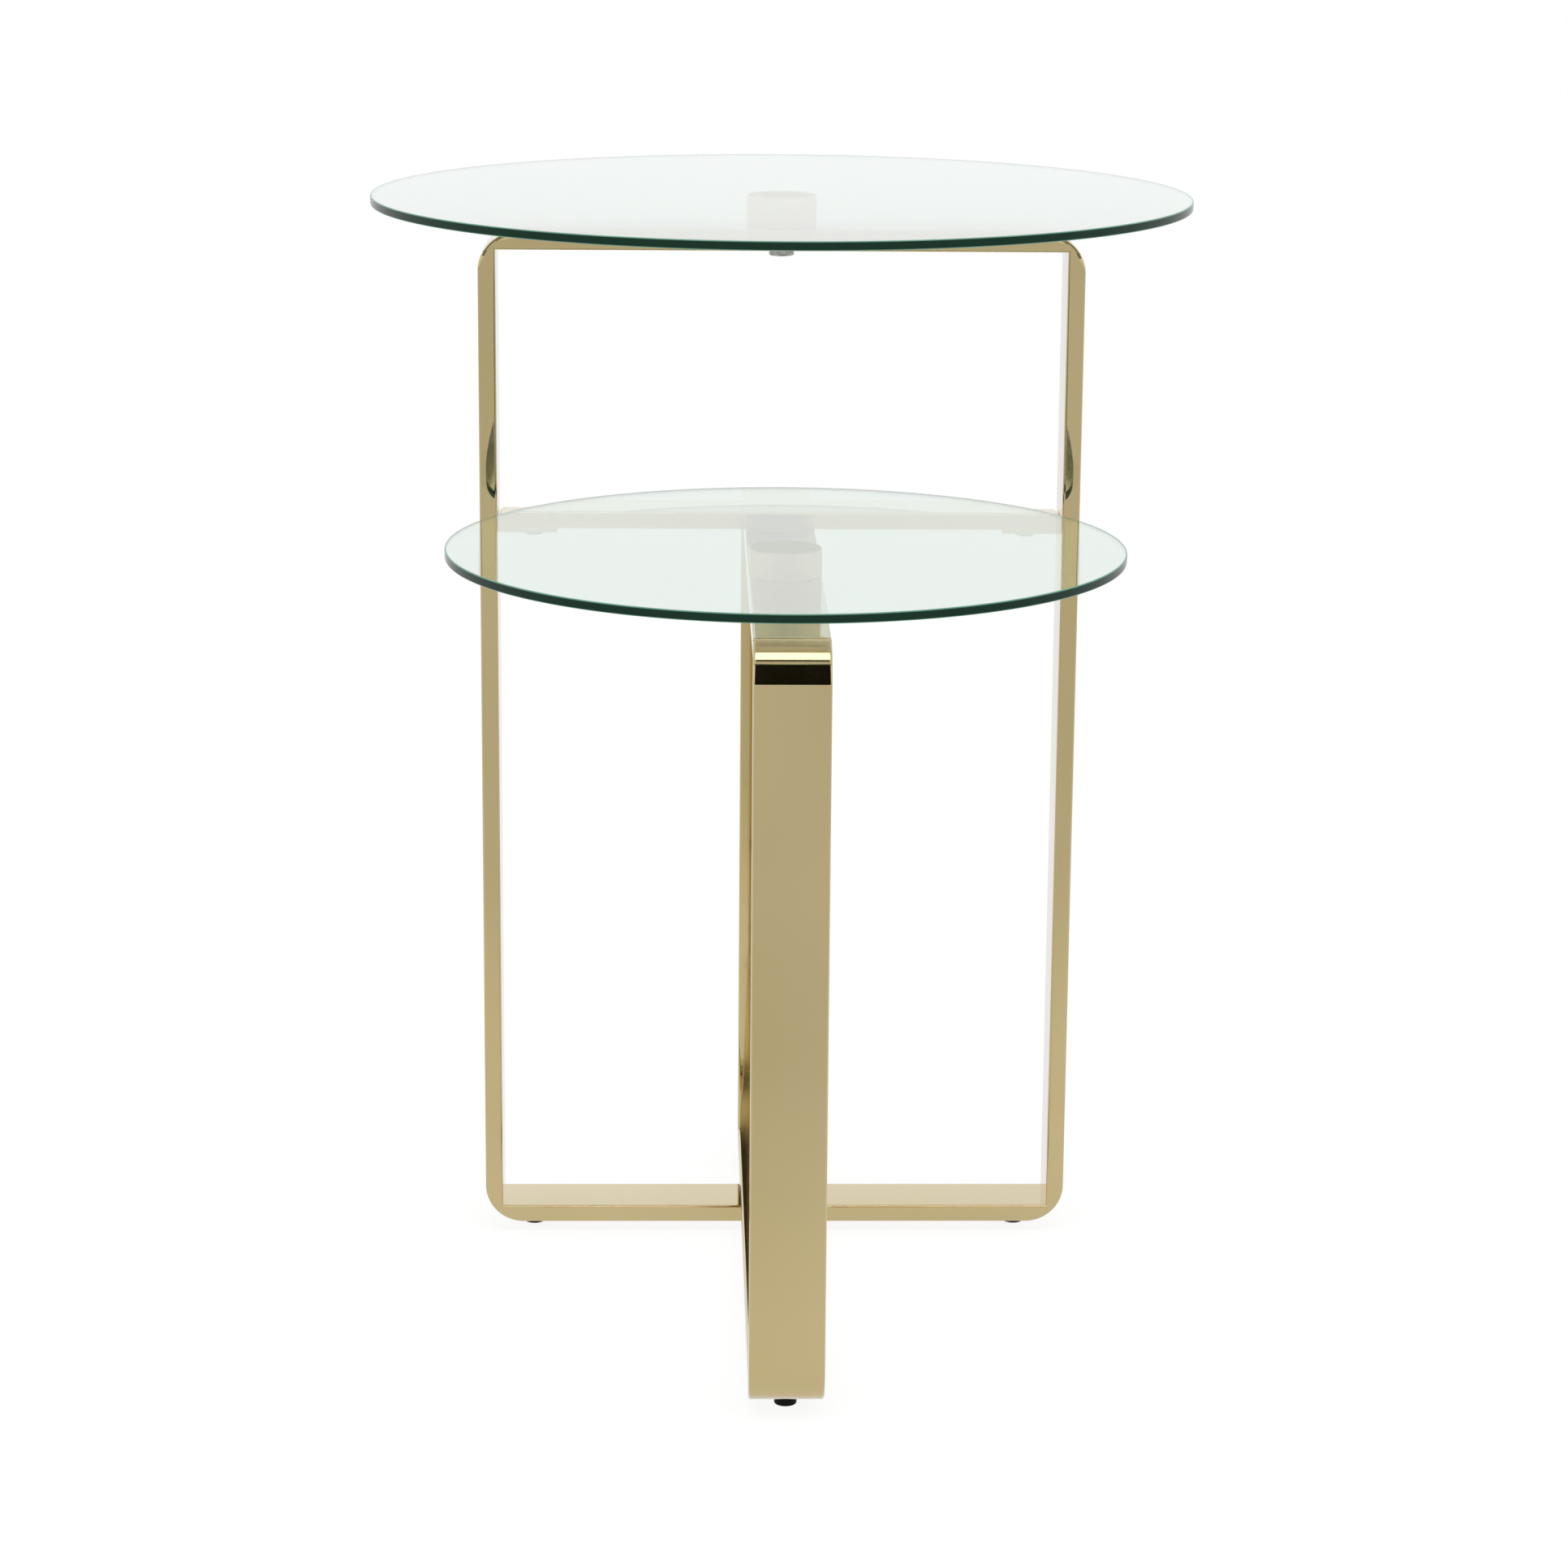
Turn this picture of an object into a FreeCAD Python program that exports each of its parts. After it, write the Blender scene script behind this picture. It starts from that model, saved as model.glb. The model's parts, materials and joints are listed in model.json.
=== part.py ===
"""Tiered side table: two round glass tops on a frame of two crossing loops of flat tube.

Millimetres, +Z up. The origin is on the floor, in the middle of the table's outline seen from above.
The front of the table, where the lower glass stands out, faces -Y.
"""
import FreeCAD, Part
import math
import os
import Sketcher
from FreeCAD import Vector

SIZES = {
    # Flat tube that both loops and the rail are made of
    "tube_width": 40,
    "tube_thickness": 10,
    "tube_wall": 1.2,
    "tube_edge_radius": 1.5,
    # Folded corner: metal left across its diagonal
    "fold_web": 5,
    # Loops, measured outside
    "tall_loop_width": 340,
    "tall_loop_height": 582,
    "low_loop_height": 410,
    "low_loop_front": 313,
    "low_loop_rear": 134,
    "lap_clearance": 0.2,
    # Glass tops
    "upper_glass_diameter": 460,
    "lower_glass_diameter": 365,
    "lower_glass_forward": 151,
    "glass_thickness": 5,
    "glass_arris": 0.8,
    # Bosses that carry the glass, and the film that bonds them to it
    "boss_diameter": 39,
    "boss_height": 14.7,
    "bond_thickness": 0.3,
    "bond_margin": 0.5,
    # Bolts from below, through a bar into a boss
    "boss_bolt_diameter": 8,
    "boss_bolt_reach": 10,
    "boss_bolt_head_diameter": 14,
    "boss_bolt_head_height": 4.4,
    "boss_bolt_socket": 5,
    "boss_bolt_socket_depth": 2.4,
    # Rail between the uprights, on its lugs
    "rail_end_clearance": 0.4,
    "lug_length": 34,
    "lug_width": 30,
    "lug_thickness": 3,
    # Screws from below, through a lug into a nut inside the rail
    "rail_screw_inset": 20,
    "rail_screw_diameter": 6,
    "rail_screw_head_diameter": 10.5,
    "rail_screw_head_height": 3.3,
    "rail_screw_socket": 4,
    "rail_screw_socket_depth": 1.8,
    "rail_screw_tail": 0.8,
    "rail_nut_across": 10,
    "rail_nut_height": 5,
    "hole_clearance": 0.3,
    # Pads stuck under the loops
    "foot_height": 6,
    "foot_diameter": 12,
    "foot_bevel": 0.8,
    "foot_inset": 28,
}

# Places that several pieces share, written as expressions on the sheet
FOLD_RADIUS = "((sqrt(2) * Sizes.tube_thickness - Sizes.fold_web) / (sqrt(2) - 1))"
RIM_BEVEL = "((2 - sqrt(2)) * Sizes.tube_edge_radius)"
TALL_HALF = "(Sizes.tall_loop_width / 2)"
TALL_TOP = "(Sizes.foot_height + Sizes.tall_loop_height)"
LOW_TOP = "(Sizes.foot_height + Sizes.low_loop_height)"
UPRIGHT_INSIDE = "(Sizes.tall_loop_width / 2 - Sizes.tube_thickness)"
RAIL_SCREW_X = "(Sizes.tall_loop_width / 2 - Sizes.tube_thickness - Sizes.rail_screw_inset)"
RAIL_SCREW_HOLE = "(Sizes.rail_screw_diameter + 2 * Sizes.hole_clearance)"
BOSS_BOLT_HOLE = "(Sizes.boss_bolt_diameter + 2 * Sizes.hole_clearance)"
SIDE_FOOT = "(Sizes.tall_loop_width / 2 - Sizes.foot_inset)"
FRONT_FOOT = "(Sizes.low_loop_front - Sizes.foot_inset)"
REAR_FOOT = "(Sizes.low_loop_rear - Sizes.foot_inset)"
HALF_LAP = "(Sizes.foot_height + Sizes.tube_thickness / 2)"
LAP_HALF_WIDTH = "(Sizes.tube_width / 2 + Sizes.lap_clearance)"
# The tall loop stands behind the origin by half the difference of the reach to the front and to the rear
TALL_PLANE = ("((Sizes.lower_glass_forward + Sizes.lower_glass_diameter / 2"
              " - Sizes.upper_glass_diameter / 2) / 2)")
LOWER_GLASS_Y = TALL_PLANE + " - Sizes.lower_glass_forward"

# Corners of a drawn rectangle, numbered from the lower right one, anticlockwise
ALL_CORNERS = (0, 1, 2, 3)
RIGHT_CORNERS = (0, 1)
UPPER_CORNERS = (1, 2)
LEFT_CORNERS = (2, 3)
LOWER_CORNERS = (3, 0)

# Two places closer than this are the same place
TOUCH = 1e-6

document = FreeCAD.newDocument("tiered_side_table")
sheet = document.addObject("Spreadsheet::Sheet", "Sizes")
for row, (alias, size) in enumerate(SIZES.items(), start=1):
    sheet.set(f"A{row}", alias)
    sheet.set(f"B{row}", str(size))
    sheet.setAlias(f"B{row}", alias)
document.recompute()


def value(expression):
    """The number that an expression on the sheet has now."""
    return float(sheet.evalExpression(expression.replace("Sizes.", "")))


def new_body(label, x="0", y=TALL_PLANE, z="0", turn=0):
    """A body with its place bound to the sheet, turned about the vertical by so many degrees."""
    body = document.addObject("PartDesign::Body", label)
    body.Label = label
    body.Placement.Rotation = FreeCAD.Rotation(Vector(0, 0, 1), turn)
    for axis, position in (("x", x), ("y", y), ("z", z)):
        body.setExpression(f"Placement.Base.{axis}", position)
    return body


def new_sketch(body, name, plane, lift="0"):
    """A sketch on one of the body's own origin planes, lifted along that plane's normal."""
    sketch = body.newObject("Sketcher::SketchObject", f"{body.Label}_{name}")
    support = next(item for item in body.Origin.OriginFeatures if item.Role == plane)
    sketch.AttachmentSupport = [(support, "")]
    sketch.MapMode = "FlatFace"
    if lift != "0":
        sketch.setExpression("AttachmentOffset.Base.z", lift)
    return sketch


def drive(sketch, constraint, expression):
    """Adds a dimension to a sketch and binds it to the sheet."""
    index = sketch.addConstraint(constraint)
    sketch.setExpression(f"Constraints[{index}]", expression)


def place(sketch, point, x=None, y=None):
    """Holds a sketch point at driven coordinates; a coordinate "0" puts it on that axis."""
    for kind, axis, coordinate in (("DistanceX", -2, x), ("DistanceY", -1, y)):
        if coordinate is None:
            continue
        distance = value(coordinate)
        if coordinate == "0":
            sketch.addConstraint(Sketcher.Constraint("PointOnObject", *point, axis))
        elif distance > 0:
            drive(sketch, Sketcher.Constraint(kind, -1, 1, *point, distance), coordinate)
        else:
            drive(sketch, Sketcher.Constraint(kind, *point, -1, 1, -distance), f"-({coordinate})")


def draw_ring(sketch, edges):
    """Adds edges that follow each other round an outline and gives their numbers."""
    first = sketch.GeometryCount
    for edge in edges:
        sketch.addGeometry(edge, False)
    return list(range(first, first + len(edges)))


def draw_rectangle(sketch, left, right, bottom, top, radius="0", rounded=()):
    """A rectangle between driven coordinates, with equal round corners where they are named.

    The corners are numbered from the lower right one, anticlockwise.
    """
    x0, x1, y0, y1, r = (value(side) for side in (left, right, bottom, top, radius))
    corners = [Vector(x1, y0), Vector(x1, y1), Vector(x0, y1), Vector(x0, y0)]
    inward = [Vector(-1, 1), Vector(-1, -1), Vector(1, -1), Vector(1, 1)]
    along = [Vector(1, 0), Vector(0, 1), Vector(-1, 0), Vector(0, -1)]
    trims = [r if corner in rounded else 0 for corner in range(4)]
    lines = draw_ring(sketch, [
        Part.LineSegment(corners[side - 1] + along[side] * trims[side - 1],
                         corners[side] - along[side] * trims[side])
        for side in range(4)])
    first_arc = None
    for side, line in enumerate(lines):
        following = lines[(side + 1) % 4]
        sketch.addConstraint(Sketcher.Constraint(("Horizontal", "Vertical")[side % 2], line))
        if not trims[side]:
            sketch.addConstraint(Sketcher.Constraint("Coincident", line, 2, following, 1))
            continue
        circle = Part.Circle(corners[side] + inward[side] * r, Vector(0, 0, 1), r)
        start_angle = (side - 1) * math.pi / 2
        arc = sketch.addGeometry(Part.ArcOfCircle(circle, start_angle, start_angle + math.pi / 2), False)
        sketch.addConstraint(Sketcher.Constraint("Tangent", line, 2, arc, 1))
        sketch.addConstraint(Sketcher.Constraint("Tangent", arc, 2, following, 1))
        if first_arc is None:
            first_arc = arc
            drive(sketch, Sketcher.Constraint("Radius", arc, r), radius)
        else:
            sketch.addConstraint(Sketcher.Constraint("Equal", first_arc, arc))
    place(sketch, (lines[0], 1), y=bottom)
    place(sketch, (lines[1], 1), x=right)
    place(sketch, (lines[2], 1), y=top)
    place(sketch, (lines[3], 1), x=left)


def draw_circle(sketch, diameter, x="0", y="0"):
    """A circle with driven diameter and centre."""
    circle = Part.Circle(Vector(value(x), value(y)), Vector(0, 0, 1), value(diameter) / 2)
    index = sketch.addGeometry(circle, False)
    drive(sketch, Sketcher.Constraint("Diameter", index, value(diameter)), diameter)
    place(sketch, (index, 3), x, y)


def draw_hexagon(sketch, across_flats):
    """A regular hexagon round the sketch's origin, with one corner on the X axis."""
    reach = f"({across_flats}) / sqrt(3)"
    radius = value(reach)
    circle = sketch.addGeometry(Part.Circle(Vector(), Vector(0, 0, 1), radius), True)
    sketch.addConstraint(Sketcher.Constraint("Coincident", circle, 3, -1, 1))
    drive(sketch, Sketcher.Constraint("Radius", circle, radius), reach)
    angles = [math.radians(60 * step) for step in range(6)]
    corners = [Vector(radius * math.cos(angle), radius * math.sin(angle)) for angle in angles]
    lines = draw_ring(sketch, [Part.LineSegment(corners[step], corners[(step + 1) % 6]) for step in range(6)])
    for step, line in enumerate(lines):
        sketch.addConstraint(Sketcher.Constraint("Coincident", line, 2, lines[(step + 1) % 6], 1))
        sketch.addConstraint(Sketcher.Constraint("PointOnObject", line, 1, circle))
        if step:
            sketch.addConstraint(Sketcher.Constraint("Equal", lines[0], line))
    sketch.addConstraint(Sketcher.Constraint("PointOnObject", lines[0], 1, -1))


def draw_half_section(sketch, corners):
    """A straight-sided half section for turning about the sketch's Y axis, from (radius, height) pairs."""
    points = [Vector(value(radius), value(height)) for radius, height in corners]
    count = len(points)
    ring = draw_ring(sketch, [Part.LineSegment(points[step - 1], points[step]) for step in range(count)])
    for step in range(count):
        sketch.addConstraint(Sketcher.Constraint("Coincident", ring[step - 1], 2, ring[step], 1))
    for edge, (radius, height) in zip(ring, corners):
        place(sketch, (edge, 2), radius, height)


def add_pad(body, sketch, length, symmetric=False):
    """Pads a sketch along its normal, or equally to both sides."""
    pad = body.newObject("PartDesign::Pad", sketch.Label + "_pad")
    pad.Profile = sketch
    pad.SideType = "Symmetric" if symmetric else "One side"
    pad.setExpression("Length", length)
    document.recompute()
    return pad


def add_pocket(body, sketch, depth, symmetric=False):
    """Cuts against the sketch's normal, or equally to both sides, and makes sure that something went."""
    before = body.Shape.Volume
    pocket = body.newObject("PartDesign::Pocket", sketch.Label + "_pocket")
    pocket.Profile = sketch
    pocket.SideType = "Symmetric" if symmetric else "One side"
    pocket.setExpression("Length", depth)
    document.recompute()
    if not body.Shape.Volume < before:
        raise RuntimeError(f"{pocket.Label} cuts nothing")


def add_revolution(body, sketch):
    """Turns a half section right round the sketch's Y axis."""
    turned = body.newObject("PartDesign::Revolution", sketch.Label + "_turned")
    turned.Profile = sketch
    turned.ReferenceAxis = (sketch, ["V_Axis"])
    turned.Angle = 360
    document.recompute()
    return turned


def dress_edges(body, feature, kind, size, chosen):
    """Fillets or chamfers every edge of a feature that the test picks."""
    names = [f"Edge{number}" for number, edge in enumerate(feature.Shape.Edges, start=1) if chosen(edge)]
    dressed = body.newObject(f"PartDesign::{kind}", f"{feature.Label}_{kind.lower()}")
    dressed.Base = (feature, names)
    dressed.setExpression({"Fillet": "Radius", "Chamfer": "Size"}[kind], size)
    document.recompute()
    return dressed


def near(place, places):
    """Whether a place is one of the given ones."""
    return any(abs(place - other) < TOUCH for other in places)


def lies_across(axis, places):
    """A test for edges that lie in one of the planes across an axis, at the given places along it."""
    def test(edge):
        low = getattr(edge.BoundBox, f"{axis}Min")
        high = getattr(edge.BoundBox, f"{axis}Max")
        return high - low < TOUCH and near(low, places)
    return test


def drill(body, name, top, depth, diameter, places):
    """Round holes cut downwards from a level, at (x, y) places of the body."""
    holes = new_sketch(body, name, "XY_Plane", top)
    for x, y in places:
        draw_circle(holes, diameter, x, y)
    add_pocket(body, holes, depth)


def folded_loop(label, left, right, top, turn=0):
    """A closed loop of flat tube in the XZ plane, folded at its corners: round outside, creased inside."""
    body = new_body(label, turn=turn)
    bottom = "Sizes.foot_height"
    faces = ("-Sizes.tube_width / 2", "Sizes.tube_width / 2")

    uprights = new_sketch(body, "uprights", "XY_Plane", bottom)
    for sides, rounded in (((left, f"{left} + Sizes.tube_thickness"), RIGHT_CORNERS),
                           ((f"{right} - Sizes.tube_thickness", right), LEFT_CORNERS)):
        draw_rectangle(uprights, *sides, *faces, "Sizes.tube_edge_radius", rounded)
    add_pad(body, uprights, f"{top} - {bottom}")
    bars = new_sketch(body, "bars", "YZ_Plane", left)
    for levels, rounded in (((bottom, f"{bottom} + Sizes.tube_thickness"), UPPER_CORNERS),
                            ((f"{top} - Sizes.tube_thickness", top), LOWER_CORNERS)):
        draw_rectangle(bars, *faces, *levels, "Sizes.tube_edge_radius", rounded)
    square = add_pad(body, bars, f"{right} - ({left})")

    outer_x = (value(left), value(right))
    outer_z = (value(bottom), value(top))
    on_side = lies_across("X", outer_x)
    on_level = lies_across("Z", outer_z)
    on_face = lies_across("Y", [value(face) for face in faces])

    def on_outline(edge):
        return all(near(point.X, outer_x) or near(point.Z, outer_z) for point in edge.Vertexes)

    folded = dress_edges(body, square, "Fillet", FOLD_RADIUS, lambda edge: on_side(edge) and on_level(edge))
    # The rims that run round the folds are bevelled to touch the edge radius: rounded folds cost many facets
    dress_edges(body, folded, "Chamfer", RIM_BEVEL, lambda edge: on_face(edge) and on_outline(edge))

    def inset_sides(inset):
        return f"{left} + {inset}", f"{right} - {inset}", f"{bottom} + {inset}", f"{top} - {inset}"

    inside = new_sketch(body, "inside", "XZ_Plane")
    draw_rectangle(inside, *inset_sides("Sizes.tube_wall"), f"{FOLD_RADIUS} - Sizes.tube_wall", ALL_CORNERS)
    draw_rectangle(inside, *inset_sides("(Sizes.tube_thickness - Sizes.tube_wall)"))
    add_pocket(body, inside, "Sizes.tube_width - 2 * Sizes.tube_wall", symmetric=True)
    return body


def cut_half_lap(body, bottom, top):
    """Takes half the bar's thickness away where the other loop's bar crosses it."""
    notch = new_sketch(body, "half_lap", "XZ_Plane")
    draw_rectangle(notch, f"-{LAP_HALF_WIDTH}", LAP_HALF_WIDTH, bottom, top)
    add_pocket(body, notch, "2 * Sizes.tube_width", symmetric=True)


def drill_top_bar(body, top, x):
    """The bolt hole through both walls of the top bar."""
    drill(body, "boss_hole", top, "Sizes.tube_thickness", BOSS_BOLT_HOLE, [(x, "0")])


def make_tall_frame():
    """Loop across the table, with the upper half of its bottom bar cut for the low loop."""
    body = folded_loop("tall_frame", f"-{TALL_HALF}", TALL_HALF, TALL_TOP)
    cut_half_lap(body, HALF_LAP, "Sizes.foot_height + 2 * Sizes.tube_thickness")
    drill_top_bar(body, TALL_TOP, "0")


def make_low_frame():
    """Loop from front to rear, with the lower half of its bottom bar cut for the tall loop."""
    body = folded_loop("low_frame", "-Sizes.low_loop_front", "Sizes.low_loop_rear", LOW_TOP, turn=90)
    cut_half_lap(body, "Sizes.foot_height - Sizes.tube_thickness", HALF_LAP)
    drill_top_bar(body, LOW_TOP, "-Sizes.lower_glass_forward")


def make_cross_rail():
    """Open-ended tube that lies on the low loop's top bar and on the two lugs."""
    body = new_body("cross_rail", z=LOW_TOP)
    section = new_sketch(body, "section", "YZ_Plane")
    for inset in ("0", "Sizes.tube_wall"):
        half_width = f"(Sizes.tube_width / 2 - {inset})"
        draw_rectangle(section, f"-{half_width}", half_width, inset, f"Sizes.tube_thickness - {inset}",
                       f"Sizes.tube_edge_radius - {inset}", ALL_CORNERS)
    add_pad(body, section, f"2 * ({UPRIGHT_INSIDE} - Sizes.rail_end_clearance)", symmetric=True)
    drill(body, "screw_holes", "Sizes.tube_thickness / 2", "Sizes.tube_thickness / 2", RAIL_SCREW_HOLE,
          [(f"-{RAIL_SCREW_X}", "0"), (RAIL_SCREW_X, "0")])


def make_rail_lug(label, x, turn):
    """Plate welded by one end to the inside of an upright."""
    body = new_body(label, x=x, z=f"{LOW_TOP} - Sizes.lug_thickness", turn=turn)
    outline = new_sketch(body, "outline", "XY_Plane")
    draw_rectangle(outline, "0", "Sizes.lug_length", "-Sizes.lug_width / 2", "Sizes.lug_width / 2")
    add_pad(body, outline, "Sizes.lug_thickness")
    drill(body, "screw_hole", "Sizes.lug_thickness", "Sizes.lug_thickness", RAIL_SCREW_HOLE,
          [("Sizes.rail_screw_inset", "0")])


def make_screw(label, size, shank, x, y, seat):
    """Low-head screw: flat head with a hexagon socket below the seat, plain shank above it."""
    body = new_body(label, x=x, y=y, z=seat)
    head_radius = f"Sizes.{size}_head_diameter / 2"
    head_height = f"Sizes.{size}_head_height"
    shank_radius = f"Sizes.{size}_diameter / 2"
    section = new_sketch(body, "section", "XZ_Plane")
    draw_half_section(section, [
        ("0", f"-{head_height}"),
        (head_radius, f"-{head_height}"),
        (head_radius, "0"),
        (shank_radius, "0"),
        (shank_radius, shank),
        ("0", shank),
    ])
    add_revolution(body, section)
    socket_depth = f"Sizes.{size}_socket_depth"
    socket = new_sketch(body, "socket", "XY_Plane", f"{socket_depth} - {head_height}")
    draw_hexagon(socket, f"Sizes.{size}_socket")
    add_pocket(body, socket, socket_depth)


def make_rail_nut(label, x):
    """Hexagon nut fixed to the inside of the rail's lower wall."""
    body = new_body(label, x=x, z=f"{LOW_TOP} + Sizes.tube_wall")
    outline = new_sketch(body, "outline", "XY_Plane")
    draw_hexagon(outline, "Sizes.rail_nut_across")
    draw_circle(outline, "Sizes.rail_screw_diameter")
    add_pad(body, outline, "Sizes.rail_nut_height")


def make_disc(label, diameter, thickness, y, z, bevel=None):
    """Round disc, with its two edges bevelled where a bevel is given."""
    body = new_body(label, y=y, z=z)
    outline = new_sketch(body, "outline", "XY_Plane")
    draw_circle(outline, diameter)
    disc = add_pad(body, outline, thickness)
    if bevel:
        dress_edges(body, disc, "Chamfer", bevel, lies_across("Z", (0, value(thickness))))
    return body


def make_tier(tier, bar_top, y):
    """One glass with the boss, bonding film and bolt that hold it on a bar."""
    boss = make_disc(f"{tier}_boss", "Sizes.boss_diameter", "Sizes.boss_height", y, bar_top)
    drill(boss, "thread", "Sizes.boss_bolt_reach", "Sizes.boss_bolt_reach", "Sizes.boss_bolt_diameter",
          [("0", "0")])
    boss_top = f"{bar_top} + Sizes.boss_height"
    make_disc(f"{tier}_bond", "Sizes.boss_diameter - 2 * Sizes.bond_margin", "Sizes.bond_thickness",
              y, boss_top)
    make_disc(f"{tier}_glass", f"Sizes.{tier}_glass_diameter", "Sizes.glass_thickness", y,
              f"{boss_top} + Sizes.bond_thickness", "Sizes.glass_arris")
    make_screw(f"{tier}_boss_bolt", "boss_bolt", "(Sizes.tube_thickness + Sizes.boss_bolt_reach)",
               "0", y, f"{bar_top} - Sizes.tube_thickness")


def make_rail_end(side, sign, turn):
    """The lug, screw and nut that hold one end of the rail."""
    screw_x = f"{sign}{RAIL_SCREW_X}"
    shank = "(Sizes.lug_thickness + Sizes.tube_wall + Sizes.rail_nut_height + Sizes.rail_screw_tail)"
    make_rail_lug(f"{side}_rail_lug", f"{sign}{UPRIGHT_INSIDE}", turn)
    make_screw(f"{side}_rail_screw", "rail_screw", shank, screw_x, TALL_PLANE,
               f"{LOW_TOP} - Sizes.lug_thickness")
    make_rail_nut(f"{side}_rail_nut", screw_x)


def make_foot(label, x, y):
    """Round pad with a bevelled lower edge."""
    body = new_body(label, x=x, y=y)
    radius = "Sizes.foot_diameter / 2"
    section = new_sketch(body, "section", "XZ_Plane")
    draw_half_section(section, [
        ("0", "0"),
        (f"{radius} - Sizes.foot_bevel", "0"),
        (radius, "Sizes.foot_bevel"),
        (radius, "Sizes.foot_height"),
        ("0", "Sizes.foot_height"),
    ])
    add_revolution(body, section)


def check_and_export():
    """Stops on any failed object or bad shape, then writes one file for each piece."""
    document.recompute()
    failed = [item.Name for item in document.Objects if {"Invalid", "Error"} & set(item.State)]
    if failed:
        raise RuntimeError(f"failed objects: {failed}")
    bodies = [item for item in document.Objects if item.TypeId == "PartDesign::Body"]
    for body in bodies:
        if body.Shape.isNull() or not body.Shape.isValid() or len(body.Shape.Solids) != 1:
            raise RuntimeError(f"bad shape: {body.Label}")
    os.makedirs("parts", exist_ok=True)
    for body in bodies:
        body.Shape.exportStep(f"parts/{body.Label}.step")


make_tall_frame()
make_low_frame()
make_cross_rail()
make_rail_end("left", "-", turn=0)
make_rail_end("right", "", turn=180)
make_tier("upper", TALL_TOP, TALL_PLANE)
make_tier("lower", LOW_TOP, LOWER_GLASS_Y)
make_foot("left_foot", f"-{SIDE_FOOT}", TALL_PLANE)
make_foot("right_foot", SIDE_FOOT, TALL_PLANE)
make_foot("front_foot", "0", f"{TALL_PLANE} - {FRONT_FOOT}")
make_foot("rear_foot", "0", f"{TALL_PLANE} + {REAR_FOOT}")
check_and_export()
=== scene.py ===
import json
import math

import bmesh
import bpy
from bpy.props import FloatProperty, FloatVectorProperty, IntProperty, PointerProperty
from mathutils import Matrix, Vector


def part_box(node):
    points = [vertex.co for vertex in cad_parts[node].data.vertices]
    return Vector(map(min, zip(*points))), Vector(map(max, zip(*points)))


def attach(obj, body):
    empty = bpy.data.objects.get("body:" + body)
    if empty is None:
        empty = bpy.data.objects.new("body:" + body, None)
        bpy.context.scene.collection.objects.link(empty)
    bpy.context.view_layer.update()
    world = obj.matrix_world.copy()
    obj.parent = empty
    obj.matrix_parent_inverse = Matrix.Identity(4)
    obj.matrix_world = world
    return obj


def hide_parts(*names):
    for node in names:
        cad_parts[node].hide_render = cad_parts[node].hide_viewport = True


bl_info = {
    "name": "Tiered Side Table",
    "version": (1, 0, 0),
    "blender": (4, 5, 0),
    "location": "3D View > Sidebar > Side Table",
    "description": "Builds a side table with two glass tops on crossing loops of folded gold bar",
    "category": "Object",
}

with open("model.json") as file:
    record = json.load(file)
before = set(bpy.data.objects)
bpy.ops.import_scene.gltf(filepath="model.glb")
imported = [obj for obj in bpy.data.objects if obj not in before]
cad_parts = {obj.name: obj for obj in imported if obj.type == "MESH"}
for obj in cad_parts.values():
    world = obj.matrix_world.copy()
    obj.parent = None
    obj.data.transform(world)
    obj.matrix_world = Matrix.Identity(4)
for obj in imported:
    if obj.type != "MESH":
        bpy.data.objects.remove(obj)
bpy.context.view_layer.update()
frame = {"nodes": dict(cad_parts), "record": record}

UP = Vector((0.0, 0.0, 1.0))
WHITE = (1.0, 1.0, 1.0, 1.0)
# Edges that bend more than this stay crisp, and flatter ones shade smoothly.
CRISP_ANGLE = math.radians(35)
# Edges that bend more than this are eased on round pieces.
SHARP_ANGLE = math.radians(60)
# Share of its normal that a flat face has along its axis.
FLAT_SHARE = 0.999
MERGE_DISTANCE = 1e-6
# Map on the loops that runs across and along the bar.
BAR_MAP = "bar_map"
# Low-head socket screws: height of the head, radius of the shank, pitch of the thread, width and depth of
# the key's socket.
RAIL_SCREW = {"head": 0.0033, "shank": 0.003, "pitch": 0.001, "key": 0.004, "key_depth": 0.0018}
BOSS_BOLT = {"head": 0.0044, "shank": 0.004, "pitch": 0.00125, "key": 0.005, "key_depth": 0.0024}
# Depth of a thread as a share of its pitch, and rounding of a head's rim as a share of its radius.
THREAD_SHARE = 0.6
HEAD_EASE_SHARE = 0.12
HEAD_EASE_STEPS = 4
# Plain length at both ends of a thread, in pitches.
PLAIN_PITCHES = 2
# Width of the ring left round a key's socket before it takes its shape, as a share of the head's radius.
SOCKET_RING_SHARE = 0.3
# Turn from one side of a six-sided key to the next.
KEY_TURN = math.pi / 3


def node_middle(node):
    low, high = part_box(node)
    return (low + high) / 2


def node_size(node):
    low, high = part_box(node)
    return high - low


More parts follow.
